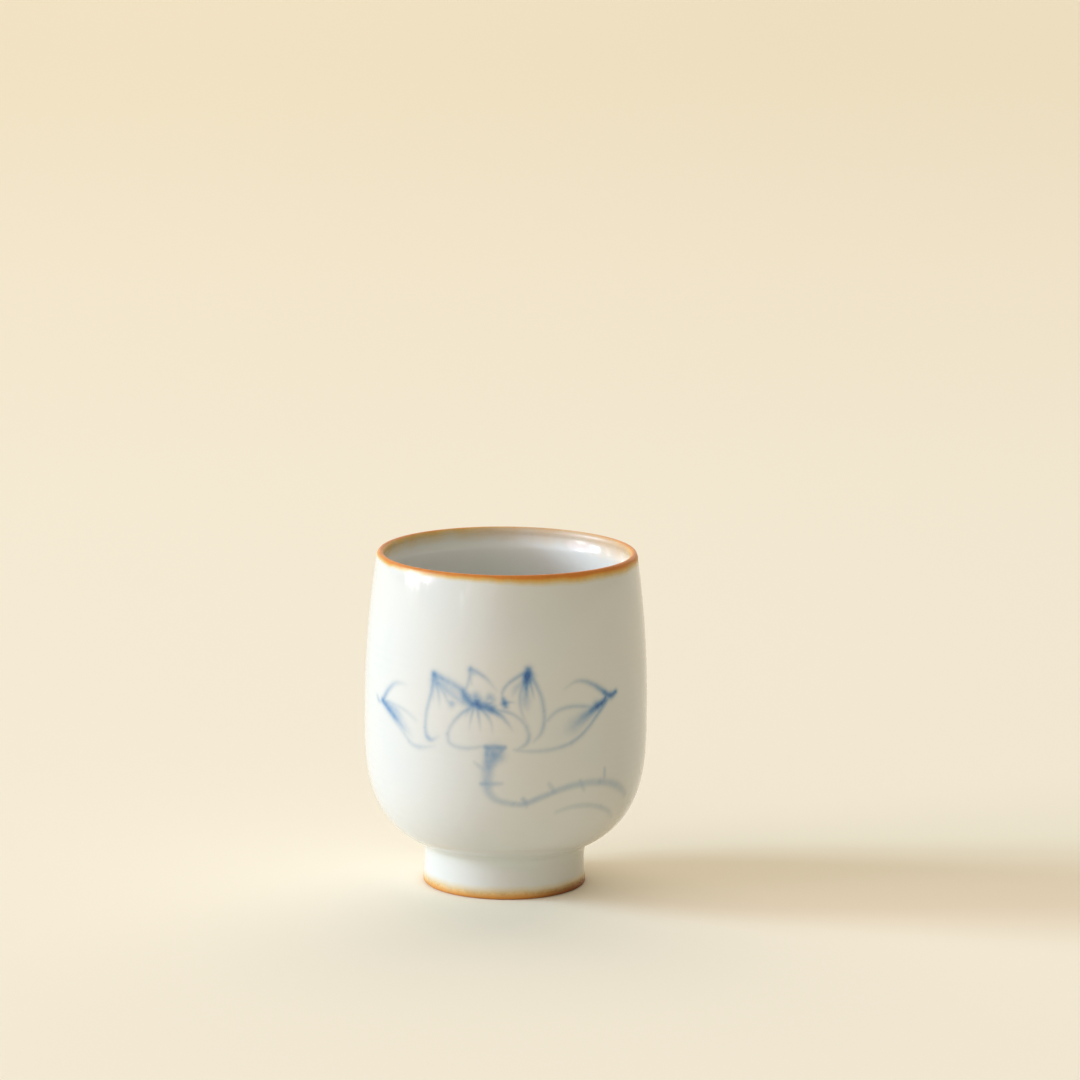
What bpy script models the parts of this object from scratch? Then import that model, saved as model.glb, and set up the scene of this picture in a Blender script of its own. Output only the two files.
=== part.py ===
"""Porcelain teacup: a round-hipped bowl luted to a tall foot ring, with an iron-brown lip and foot edge.

Every piece is turned about the Z axis, as on a potter's wheel. Lengths are in metres. The origin is the
centre of the flat ring that the cup stands on.
"""

import math

import bmesh
import bpy

# Overall shape
OVERALL_HEIGHT = 0.080
BELLY_RADIUS = 0.0335
BELLY_HEIGHT = 0.042
LIP_DRAW_IN = 0.0028
UNDERSIDE_HEIGHT = 0.0072

# How full the curves are: both powers are 2 on an ellipse, and higher ones make a squarer hip.
HIP_DEPTH_POWER = 3.2
HIP_RADIUS_POWER = 2.75
SHOULDER_POWER = 2.1

# Walls
LIP_THICKNESS = 0.0018
BELLY_THICKNESS = 0.0023
FLOOR_THICKNESS = 0.0040

# Foot ring
FOOT_WAIST_RADIUS = 0.0190
FOOT_FLARE = 0.0004
FLARE_HEIGHT = 0.0055
FOOT_WALL_TOP = 0.0029
FOOT_WALL_BASE = 0.0027
FOOT_EDGE_ROUNDING = 0.0005

# Slip fillets in the two corners between the bowl and the foot ring
OUTER_FILLET_LEG = 0.0022
INNER_FILLET_LEG = 0.0015
FILLET_TIP = 0.00015
FILLET_HOLLOW = 0.72

# Iron-brown edges
LIP_BAND_HEIGHT = 0.0015
FOOT_BAND_HEIGHT = 0.0012

# Clearance between pieces that touch
SEAM_GAP = 0.0003

# Resolution
TURN_STEPS = 72
HIP_STEPS = 15
SHOULDER_STEPS = 8
LIP_STEPS = 6
FOOT_STEPS = 5
CORNER_STEPS = 3
FILLET_STEPS = 5
SMOOTH_ANGLE = math.radians(35)

GLAZE = {"color": (0.74, 0.78, 0.75), "roughness": 0.12}
IRON_GLAZE = {"color": (0.47, 0.18, 0.035), "roughness": 0.22}
BARE_CLAY = {"color": (0.36, 0.15, 0.045), "roughness": 0.7}
SLIP = {"color": (0.66, 0.70, 0.66), "roughness": 0.16}


class Wall:
    """One skin of the bowl: a superellipse from the bottom to the belly, and a flatter curve up to the lip."""

    def __init__(self, bottom, belly_radius, lip_radius):
        self.bottom = bottom
        self.belly_radius = belly_radius
        self.lip_radius = lip_radius
        self.depth = BELLY_HEIGHT - bottom

    def hip_height(self, radius):
        """Height of the skin below the belly at this radius."""
        share = 1 - (radius / self.belly_radius) ** HIP_RADIUS_POWER
        return BELLY_HEIGHT - self.depth * share ** (1 / HIP_DEPTH_POWER)

    def shoulder_radius(self, height):
        """Radius of the skin above the belly at this height."""
        share = (height - BELLY_HEIGHT) / (OVERALL_HEIGHT - BELLY_HEIGHT)
        return self.belly_radius - (self.belly_radius - self.lip_radius) * share**SHOULDER_POWER

    def shoulder_slope(self, height):
        """How much the radius grows for each metre of height above the belly."""
        rise = OVERALL_HEIGHT - BELLY_HEIGHT
        share = (height - BELLY_HEIGHT) / rise
        narrowing = self.belly_radius - self.lip_radius
        return -narrowing * SHOULDER_POWER / rise * share ** (SHOULDER_POWER - 1)

    def hip(self):
        """Points from the centre of the bottom out and up to just below the belly."""
        points = []
        for step in range(HIP_STEPS):
            turn = math.pi / 2 * step / HIP_STEPS
            radius = self.belly_radius * math.sin(turn) ** (2 / HIP_RADIUS_POWER)
            height = BELLY_HEIGHT - self.depth * math.cos(turn) ** (2 / HIP_DEPTH_POWER)
            points.append((radius, height))
        return points

    def shoulder(self, top):
        """Points from the belly up to the height named top."""
        points = []
        for step in range(SHOULDER_STEPS + 1):
            height = BELLY_HEIGHT + (top - BELLY_HEIGHT) * step / SHOULDER_STEPS
            points.append((self.shoulder_radius(height), height))
        return points

    def whole(self, top):
        return self.hip() + self.shoulder(top)


OUTSIDE = Wall(UNDERSIDE_HEIGHT, BELLY_RADIUS, BELLY_RADIUS - LIP_DRAW_IN)
INSIDE = Wall(
    UNDERSIDE_HEIGHT + FLOOR_THICKNESS,
    BELLY_RADIUS - BELLY_THICKNESS,
    BELLY_RADIUS - LIP_DRAW_IN - LIP_THICKNESS,
)


def foot_outer_radius(height):
    """The foot's outside: upright at its waist, with a slight flare towards the table."""
    share = max(0.0, 1 - height / FLARE_HEIGHT)
    return FOOT_WAIST_RADIUS + FOOT_FLARE * share**2


def foot_inner_radius(height):
    """The inside of the foot ring, which opens a little towards the table."""
    top = FOOT_WAIST_RADIUS - FOOT_WALL_TOP
    base = FOOT_WAIST_RADIUS + FOOT_FLARE - FOOT_WALL_BASE
    return base + (top - base) * height / UNDERSIDE_HEIGHT


def curve(start, start_handle, end_handle, end, steps):
    """Points along a cubic Bezier curve, without its end point."""
    points = []
    for step in range(steps):
        t = step / steps
        weights = ((1 - t) ** 3, 3 * t * (1 - t) ** 2, 3 * t**2 * (1 - t), t**3)
        corners = (start, start_handle, end_handle, end)
        points.append(tuple(sum(w * c[axis] for w, c in zip(weights, corners)) for axis in (0, 1)))
    return points


def rounded_corner(centre, radius, start_angle, end_angle):
    """Points along an arc, in degrees from the outward direction, both ends included."""
    points = []
    for step in range(CORNER_STEPS + 1):
        angle = math.radians(start_angle + (end_angle - start_angle) * step / CORNER_STEPS)
        points.append((centre[0] + radius * math.cos(angle), centre[1] + radius * math.sin(angle)))
    return points


def material(name, finish):
    made = bpy.data.materials.new(name)
    made.use_nodes = True
    surface = made.node_tree.nodes["Principled BSDF"]
    surface.inputs["Base Color"].default_value = (*finish["color"], 1.0)
    surface.inputs["Roughness"].default_value = finish["roughness"]
    surface.inputs["Metallic"].default_value = 0.0
    return made


def turned(name, outline, closed, surface):
    """A node made by turning an outline of (radius, height) points about the Z axis."""
    shape = bmesh.new()
    vertices = [shape.verts.new((radius, 0.0, height)) for radius, height in outline]
    edges = [shape.edges.new(pair) for pair in zip(vertices, vertices[1:])]
    if closed:
        edges.append(shape.edges.new((vertices[-1], vertices[0])))
    bmesh.ops.spin(
        shape,
        geom=vertices + edges,
        cent=(0, 0, 0),
        axis=(0, 0, 1),
        angle=2 * math.pi,
        steps=TURN_STEPS,
        use_merge=True,
    )
    bmesh.ops.remove_doubles(shape, verts=shape.verts, dist=1e-6)
    bmesh.ops.recalc_face_normals(shape, faces=shape.faces)
    mesh = bpy.data.meshes.new(name)
    shape.to_mesh(mesh)
    shape.free()
    mesh.shade_smooth()
    mesh.set_sharp_from_angle(angle=SMOOTH_ANGLE)
    mesh.materials.append(surface)
    node = bpy.data.objects.new(name, mesh)
    bpy.context.scene.collection.objects.link(node)
    return node


def make_bowl(surface):
    """The thrown bowl, from the middle of its floor up the inside and down the outside to its underside."""
    top = OVERALL_HEIGHT - LIP_BAND_HEIGHT - SEAM_GAP
    outline = INSIDE.whole(top) + OUTSIDE.whole(top)[::-1]
    return turned("bowl", outline, False, surface)


def make_rim_band(surface):
    """The iron-brown lip: it carries both skins of the wall on and rounds over at the top."""
    base = OVERALL_HEIGHT - LIP_BAND_HEIGHT
    outer = OUTSIDE.shoulder_radius(base)
    inner = INSIDE.shoulder_radius(base)
    crest = ((outer + inner) / 2, OVERALL_HEIGHT)
    reach = LIP_BAND_HEIGHT * 0.6
    swell = (outer - inner) * 0.28
    outer_handle = (outer + OUTSIDE.shoulder_slope(base) * reach, base + reach)
    inner_handle = (inner + INSIDE.shoulder_slope(base) * reach, base + reach)
    inner_side = curve((inner, base), inner_handle, (crest[0] - swell, crest[1]), crest, LIP_STEPS)
    outer_side = curve(crest, (crest[0] + swell, crest[1]), outer_handle, (outer, base), LIP_STEPS)
    return turned("rim_band", inner_side + outer_side + [(outer, base)], True, surface)


def make_foot_ring(surface):
    """The tall foot ring. Its top is trimmed to the bowl's underside."""
    base = FOOT_BAND_HEIGHT + SEAM_GAP
    outline = []
    inner_top = foot_inner_radius(UNDERSIDE_HEIGHT)
    for step in range(FOOT_STEPS + 1):
        radius = inner_top + (FOOT_WAIST_RADIUS - inner_top) * step / FOOT_STEPS
        outline.append((radius, OUTSIDE.hip_height(radius) - SEAM_GAP))
    for step in range(FOOT_STEPS + 1):
        height = FLARE_HEIGHT + (base - FLARE_HEIGHT) * step / FOOT_STEPS
        outline.append((foot_outer_radius(height), height))
    outline.append((foot_inner_radius(base), base))
    return turned("foot_ring", outline, True, surface)


def make_foot_band(surface):
    """The bare, iron-brown ring that touches the table."""
    top = FOOT_BAND_HEIGHT
    rounding = FOOT_EDGE_ROUNDING
    outer_centre = (foot_outer_radius(rounding) - rounding, rounding)
    inner_centre = (foot_inner_radius(rounding) + rounding, rounding)
    outline = [(foot_inner_radius(top), top), (foot_outer_radius(top), top)]
    outline += rounded_corner(outer_centre, rounding, 0, -90)
    outline += rounded_corner(inner_centre, rounding, -90, -180)
    return turned("foot_band", outline, True, surface)


def make_fillet(name, wall_radius, leg, outward, surface):
    """A ring of slip in the corner between the bowl's underside and one side of the foot ring.

    outward is 1 outside the foot and -1 inside it.
    """
    near = wall_radius + outward * SEAM_GAP
    far = near + outward * leg
    corner = (near, OUTSIDE.hip_height(near) - SEAM_GAP)
    low = (near, corner[1] - leg)
    low_tip = (near + outward * FILLET_TIP, low[1])
    high = (far, OUTSIDE.hip_height(far) - SEAM_GAP)
    high_tip = (far, high[1] - FILLET_TIP)
    low_handle = (low_tip[0], low_tip[1] + (corner[1] - low_tip[1]) * FILLET_HOLLOW)
    high_handle = (
        high_tip[0] + (corner[0] - high_tip[0]) * FILLET_HOLLOW,
        high_tip[1] + (corner[1] - high_tip[1]) * FILLET_HOLLOW,
    )
    middle = (near + far) / 2
    under = [high, (middle, OUTSIDE.hip_height(middle) - SEAM_GAP), corner]
    cove = curve(low_tip, low_handle, high_handle, high_tip, FILLET_STEPS)
    return turned(name, under + [low] + cove + [high_tip], True, surface)


def main():
    for old in list(bpy.data.objects):
        bpy.data.objects.remove(old)
    glaze = material("white_glaze", GLAZE)
    iron = material("iron_glaze", IRON_GLAZE)
    clay = material("iron_clay", BARE_CLAY)
    slip = material("glazed_slip", SLIP)
    make_bowl(glaze)
    make_rim_band(iron)
    make_foot_ring(glaze)
    make_foot_band(clay)
    make_fillet("outer_slip_fillet", FOOT_WAIST_RADIUS, OUTER_FILLET_LEG, 1, slip)
    make_fillet("inner_slip_fillet", foot_inner_radius(UNDERSIDE_HEIGHT), INNER_FILLET_LEG, -1, slip)


main()
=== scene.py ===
# Footed porcelain teacup with a brushed lotus under the glaze and iron-brown edges.
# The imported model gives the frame; each of its pieces is replaced by a finely turned one.
# Lengths are in metres unless a name ends in Mm. "Turn" is the angle round the cup in degrees:
# 0 is the painted front (-Y) and it grows towards the right (+X).

import math

import bpy
import numpy as np
from mathutils import Matrix, Quaternion, Vector


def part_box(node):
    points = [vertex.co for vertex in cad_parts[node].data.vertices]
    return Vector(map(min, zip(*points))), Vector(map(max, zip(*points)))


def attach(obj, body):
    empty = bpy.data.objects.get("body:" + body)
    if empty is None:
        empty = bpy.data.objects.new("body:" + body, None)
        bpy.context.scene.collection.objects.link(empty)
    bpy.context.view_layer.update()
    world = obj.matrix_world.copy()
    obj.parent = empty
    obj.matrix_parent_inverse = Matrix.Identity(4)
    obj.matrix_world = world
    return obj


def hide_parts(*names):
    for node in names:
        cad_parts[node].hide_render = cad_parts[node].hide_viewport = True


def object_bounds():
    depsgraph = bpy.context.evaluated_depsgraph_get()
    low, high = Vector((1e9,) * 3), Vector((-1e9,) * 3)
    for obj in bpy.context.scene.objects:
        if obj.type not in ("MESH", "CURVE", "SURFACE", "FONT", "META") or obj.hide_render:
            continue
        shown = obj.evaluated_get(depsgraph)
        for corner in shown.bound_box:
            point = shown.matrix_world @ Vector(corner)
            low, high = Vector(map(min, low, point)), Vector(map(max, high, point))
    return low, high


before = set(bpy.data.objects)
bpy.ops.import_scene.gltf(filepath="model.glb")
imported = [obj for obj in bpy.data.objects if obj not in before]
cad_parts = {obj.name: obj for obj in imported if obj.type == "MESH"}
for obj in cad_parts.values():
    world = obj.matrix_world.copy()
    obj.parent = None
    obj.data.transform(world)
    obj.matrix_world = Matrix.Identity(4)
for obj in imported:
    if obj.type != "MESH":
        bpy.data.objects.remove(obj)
cadLow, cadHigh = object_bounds()
print("frame loaded:", ", ".join(sorted(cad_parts)))

cupForm = {
    "height": cadHigh.z,
    "bellyRadius": cadHigh.x,
    "bellyHeight": 0.042,
    "lipDrawIn": 0.0028,
    "undersideHeight": 0.0072,
    "hipDepthPower": 3.2,  # higher is a squarer hip
    "hipRadiusPower": 2.75,
    "shoulderPower": 2.1,
    "lipThickness": 0.0018,
    "bellyThickness": 0.0023,
    "floorThickness": 0.0040,
}

lipForm = {
    "bandHeight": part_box("rim_band")[1].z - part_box("rim_band")[0].z,
    "reach": 0.6,  # how straight the lip runs before it rounds over, as a share of the band
    "swell": 0.28,  # how full the crest is, as a share of the wall
}

footForm = {
    "waistRadius": 0.0190,
    "flare": 0.0004,
    "flareHeight": 0.0055,
    "wallTop": 0.0029,
    "wallBase": 0.0027,
    "bandHeight": 0.00135,
    "edgeRounding": 0.0006,
    "edgeTop": 0.0010,  # the clay edge is rounded below this
    "outerCoveLow": 0.0068,
    "outerCoveRadius": 0.0216,
    "outerCoveFullness": 0.60,  # how far the cove keeps to the wall before it swings out
    "innerCoveLow": 0.0064,
    "innerCoveRadius": 0.0146,
    "innerCoveFullness": 0.62,
}

handMade = {
    "outOfRound": 0.00010,  # how far the lip strays from a true circle
    "threeSided": 0.00004,
    "calmRadius": 0.012,  # nearer the axis than this, all of it fades away
    "lipWave": 0.00007,  # how far the lip's height wanders
    "waveFrom": 0.6,  # the share of the height where that begins
    "throwingRings": 0.000035,  # finger ridges on the inside
    "ringPitch": 0.0052,
    "ringsBelowLip": (0.003, 0.012),  # they come in between these depths
    "turningRings": 0.000008,  # faint tool ridges on the outside
    "toolPitch": 0.0021,
    "toolHeights": (0.012, 0.020, 0.068, 0.078),  # they come in, are full, and go out again
    "lipTilt": 0.395,  # how far the glaze leans open inside, just under the lip
    "tiltBelow": 0.0034,
    "tiltHalfWidth": 0.0018,
    "collarTilt": 0.053,  # and outside, where the thick glaze of the lip ends
    "collarBelow": 0.0014,
    "collarHalfWidth": 0.0026,
}

meshSteps = {
    "paintedFrom": -68.0,  # the painted side has closer columns and rows, so that the brush lines stay fine
    "paintedTo": 66.0,
    "paintedColumns": 264,
    "plainColumns": 76,
    "paintedLow": 0.0185,
    "paintedHigh": 0.0600,
    "fineInside": 0.010,  # closer rows down to this depth inside the lip
    "glazeInside": (1, 9),  # rows past the crest over which the inside glaze takes over
    "formInside": (9, 17),  # and the throwing rings and the lean of the inside
}

rowCounts = {
    "underside": 13,
    "innerCove": 10,
    "footInside": 8,
    "edgeRounding": 8,
    "footOutside": 16,
    "outerCove": 16,
    "hip": 20,
    "painted": 146,
    "shoulder": 22,
    "lipSide": 16,
    "underLip": 27,
    "insideWall": 14,
    "insideFloor": 30,
}


# The outside and inside skins of the bowl.
# Below the belly: height = belly - depth * (1 - (radius / bellyRadius)^a)^(1/b).
# Above it: radius = bellyRadius - drawIn * ((height - belly) / rise)^c.
class Skin:
    def __init__(self, bottom, thicknessAtBelly, thicknessAtLip):
        self.bottom = bottom
        self.bellyRadius = cupForm["bellyRadius"] - thicknessAtBelly
        self.lipRadius = cupForm["bellyRadius"] - cupForm["lipDrawIn"] - thicknessAtLip
        self.depth = cupForm["bellyHeight"] - bottom

    def hipHeight(self, radius):
        share = 1 - (np.asarray(radius) / self.bellyRadius) ** cupForm["hipRadiusPower"]
        return cupForm["bellyHeight"] - self.depth * share ** (1 / cupForm["hipDepthPower"])

    def hipRadius(self, height):
        share = 1 - ((cupForm["bellyHeight"] - np.asarray(height)) / self.depth) ** cupForm["hipDepthPower"]
        return self.bellyRadius * share ** (1 / cupForm["hipRadiusPower"])

    def shoulderRadius(self, height):
        rise = cupForm["height"] - cupForm["bellyHeight"]
        share = (np.asarray(height) - cupForm["bellyHeight"]) / rise
        return self.bellyRadius - (self.bellyRadius - self.lipRadius) * share ** cupForm["shoulderPower"]

    def radiusAt(self, height):
        belly = cupForm["bellyHeight"]
        low = self.hipRadius(np.clip(height, self.bottom, belly))
        high = self.shoulderRadius(np.clip(height, belly, cupForm["height"]))
        return np.where(height < belly, low, high)


outside = Skin(cupForm["undersideHeight"], 0.0, 0.0)
inside = Skin(
    cupForm["undersideHeight"] + cupForm["floorThickness"],
    cupForm["bellyThickness"],
    cupForm["lipThickness"],
)


# The slope of a curve at a place: the rise between two near points over their distance.
def slopeOf(curve, at):
    step = 1e-5
    return float(curve(at + step) - curve(at - step)) / (2 * step)


# The foot's outside: radius = waist + flare * (1 - height / flareHeight)^2, upright above that.
def footOuter(height):
    share = np.clip(1 - np.asarray(height) / footForm["flareHeight"], 0, 1)
    return footForm["waistRadius"] + footForm["flare"] * share**2


# The inside of the foot: a straight line that opens a little towards the table.
def footInner(height):
    top = footForm["waistRadius"] - footForm["wallTop"]
    base = footForm["waistRadius"] + footForm["flare"] - footForm["wallBase"]
    return base + (top - base) * np.asarray(height) / cupForm["undersideHeight"]


# A cubic Bezier curve: sum of the four corners weighted by (1-t)^3, 3t(1-t)^2, 3t^2(1-t), t^3.
def bezier(start, startHandle, endHandle, end, rows):
    t = np.linspace(0, 1, rows)[:, None]
    corners = [np.asarray(c, float) for c in (start, startHandle, endHandle, end)]
    weights = ((1 - t) ** 3, 3 * t * (1 - t) ** 2, 3 * t**2 * (1 - t), t**3)
    return sum(w * c for w, c in zip(weights, corners))


# An arc of a circle: centre + radius * (cos a, sin a).
def arc(centre, radius, fromDegrees, toDegrees, rows):
    a = np.radians(np.linspace(fromDegrees, toDegrees, rows))
    return np.column_stack([centre[0] + radius * np.cos(a), centre[1] + radius * np.sin(a)])


# The cove between foot and bowl: a Bezier curve, upright at the foot and along the bowl's hip at its far end.
def cove(wallRadius, lowHeight, farRadius, fullness, rows):
    far = (farRadius, float(outside.hipHeight(farRadius)))
    slope = slopeOf(outside.hipHeight, farRadius)
    rise = (far[1] - lowHeight) * fullness
    run = (farRadius - wallRadius) * fullness
    start = (wallRadius, lowHeight)
    return bezier(start, (wallRadius, lowHeight + rise), (farRadius - run, far[1] - run * slope), far, rows)


# The clay edge of the foot: up to the band inside, rounded under by two quarter circles, flat between them.
def footEdge():
    rounding = footForm["edgeRounding"]
    ends = (footForm["edgeTop"], footForm["bandHeight"])
    inner = (float(footInner(rounding)) + rounding, rounding)
    outer = (float(footOuter(rounding)) - rounding, rounding)
    return np.concatenate([
        [(float(footInner(z)), z) for z in reversed(ends)],
        arc(inner, rounding, 180, 270, rowCounts["edgeRounding"]),
        [((inner[0] + outer[0]) / 2, 0.0)],
        arc(outer, rounding, -90, 0, rowCounts["edgeRounding"]),
        [(float(footOuter(z)), z) for z in ends],
    ])


# The lip: two Bezier curves that leave the walls along their slope and meet level on the crest.
def lipOver(top):
    outer = float(outside.shoulderRadius(top))
    inner = float(inside.shoulderRadius(top))
    crest = ((outer + inner) / 2, cupForm["height"])
    reach = lipForm["bandHeight"] * lipForm["reach"]
    swell = (outer - inner) * lipForm["swell"]
    outerHandle = (outer + slopeOf(outside.shoulderRadius, top) * reach, top + reach)
    innerHandle = (inner + slopeOf(inside.shoulderRadius, top) * reach, top + reach)
    rows = rowCounts["lipSide"]
    up = bezier((outer, top), outerHandle, (crest[0] + swell, crest[1]), crest, rows)
    down = bezier(crest, (crest[0] - swell, crest[1]), innerHandle, (inner, top), rows)
    return np.concatenate([up, down[1:]])


# The whole visible skin as one line of (radius, height) points, from the middle of the underside
# round the foot, up the outside, over the lip and down to the middle of the floor.
# Its named stretches meet at shared points, and each piece takes its own stretches from it.
def skinStretches():
    top = cupForm["height"] - lipForm["bandHeight"]
    s = {}

    r = np.linspace(0, footForm["innerCoveRadius"], rowCounts["underside"])
    s["underside"] = np.column_stack([r, outside.hipHeight(r)])

    low = footForm["innerCoveLow"]
    fullness = footForm["innerCoveFullness"]
    wall = float(footInner(low))
    s["innerCove"] = cove(wall, low, footForm["innerCoveRadius"], fullness, rowCounts["innerCove"])[::-1]

    z = np.linspace(low, footForm["bandHeight"], rowCounts["footInside"])
    s["footInside"] = np.column_stack([footInner(z), z])

    s["footEdge"] = footEdge()

    low = footForm["outerCoveLow"]
    fullness = footForm["outerCoveFullness"]
    z = np.linspace(footForm["bandHeight"], low, rowCounts["footOutside"])
    s["footOutside"] = np.column_stack([footOuter(z), z])

    wall = footForm["waistRadius"]
    s["outerCove"] = cove(wall, low, footForm["outerCoveRadius"], fullness, rowCounts["outerCove"])

    paintedRadius = float(outside.hipRadius(meshSteps["paintedLow"]))
    r = np.linspace(footForm["outerCoveRadius"], paintedRadius, rowCounts["hip"])
    s["hip"] = np.column_stack([r, outside.hipHeight(r)])

    z = np.linspace(meshSteps["paintedLow"], meshSteps["paintedHigh"], rowCounts["painted"])
    s["painted"] = np.column_stack([outside.radiusAt(z), z])

    z = np.linspace(meshSteps["paintedHigh"], top, rowCounts["shoulder"])
    s["shoulder"] = np.column_stack([outside.shoulderRadius(z), z])

    s["lip"] = lipOver(top)

    fineEnd = top - meshSteps["fineInside"]
    fine = np.linspace(top, fineEnd, rowCounts["underLip"])
    z = np.concatenate([fine, np.linspace(fineEnd, cupForm["bellyHeight"], rowCounts["insideWall"])[1:]])
    s["insideWall"] = np.column_stack([inside.shoulderRadius(z), z])

    a = np.linspace(math.pi / 2, 0, rowCounts["insideFloor"])
    r = inside.bellyRadius * np.sin(a) ** (2 / cupForm["hipRadiusPower"])
    z = cupForm["bellyHeight"] - inside.depth * np.cos(a) ** (2 / cupForm["hipDepthPower"])
    s["insideFloor"] = np.column_stack([r, z])
    return s


# Joins the stretches into one line, and gives each its first and last row.
def joinStretches(stretches):
    points = []
    rowsOf = {}
    first = 0
    for name, stretch in stretches.items():
        last = first + len(stretch) - 1
        rowsOf[name] = (first, last)
        points.append(stretch[1:] if points else stretch)
        first = last
    return np.concatenate(points), rowsOf


# A smooth step from 0 to 1: t^2 (3 - 2t).
def smooth(value, low, high):
    t = np.clip((value - low) / (high - low), 0, 1)
    return t * t * (3 - 2 * t)


# The turned surface: (radius, height) carried round Z, plus the small irregularities of work by hand.
# Out of round: a two-lobed and a three-lobed wave that grow with height.
# Throwing rings: a spiral sine on the inside; turning rings: a finer one on the outside.
# Lip wave: the height swings once and twice round, near the lip only.
def turnedPoints(profile, turns, insideShare):
    angle = np.radians(turns)[None, :]
    radius = profile[:, :1]
    height = profile[:, 1:]
    level = height / cupForm["height"]
    within = insideShare[:, None]
    away = np.clip(radius / handMade["calmRadius"], 0, 1)

    spiral = 2 * math.pi * height / handMade["ringPitch"] + angle
    rings = handMade["throwingRings"] * np.sin(spiral) * (0.6 + 0.4 * np.sin(3 * angle + 40 * height))
    rings = rings * smooth(cupForm["height"] - height, *handMade["ringsBelowLip"]) * within

    foot, body, neck, lip = handMade["toolHeights"]
    tool = handMade["turningRings"] * np.sin(2 * math.pi * height / handMade["toolPitch"] + 2 * angle)
    tool = tool * (1 - within) * smooth(height, foot, body) * smooth(lip - height, 0, lip - neck)

    lobes = handMade["outOfRound"] * level**2 * np.cos(2 * angle + 0.9)
    lobes = lobes + handMade["threeSided"] * level * np.cos(3 * angle + 2.1)
    r = radius + away * (lobes + rings + tool)

    wave = 0.6 * np.cos(angle + 2.4) + 0.4 * np.cos(2 * angle - 0.7)
    z = height + handMade["lipWave"] * wave * smooth(level, handMade["waveFrom"], 1.0)
    return np.stack([r * np.sin(angle), -r * np.cos(angle), z + 0 * angle], axis=2)


# Each vector divided by its length.
def unitVectors(vectors):
    return vectors / np.maximum(np.linalg.norm(vectors, axis=2, keepdims=True), 1e-12)


# Normals of the grid: the cross product of its two derivatives, along the line and round the cup.
# Just under the lip the thick glaze leans: up += tilt * exp(-(away / halfWidth)^power), where away is the
# height from the middle of that zone; the power is 4 inside and 2 outside.
def gridNormals(points, profile, turns, insideShare):
    along = np.concatenate([[0], np.cumsum(np.hypot(*np.diff(profile, axis=0).T))])
    wrapped = np.concatenate([points[:, -2:], points, points[:, :2]], axis=1)
    angle = np.radians(np.concatenate([turns[-2:] - 360, turns, turns[:2] + 360]))
    dAlong = np.gradient(points, along, axis=0)
    dRound = np.gradient(wrapped, angle, axis=1)[:, 2:-2]
    normal = unitVectors(np.cross(dRound, dAlong))
    below = cupForm["height"] - profile[:, 1]
    within = ((below - handMade["tiltBelow"]) / handMade["tiltHalfWidth"]) ** 4
    collar = ((below - handMade["collarBelow"]) / handMade["collarHalfWidth"]) ** 2
    lean = handMade["lipTilt"] * np.exp(-within) * insideShare
    lean = lean + handMade["collarTilt"] * np.exp(-collar) * (1 - insideShare)
    normal[..., 2] += lean[:, None]
    normal = unitVectors(normal)
    normal[0] = (0, 0, -1)
    normal[-1] = (0, 0, 1)
    return normal


# The fan of triangles that closes one end: its tip joined to each side of the end row, and their UV corners.
def poleFan(tip, edge, columnUs, rowV, tipV, atStart):
    u0, u1 = columnUs
    following = np.roll(edge, -1)
    sides, sideUs = ((following, edge), (u1, u0)) if atStart else ((edge, following), (u0, u1))
    fan = np.column_stack([np.full(len(edge), tip), *sides])
    fanU = np.stack([(u0 + u1) / 2, *sideUs], axis=1)
    fanV = np.broadcast_to([tipV, rowV, rowV], fanU.shape)
    return fan, np.stack([fanU, fanV], axis=2).reshape(-1, 2)


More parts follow.
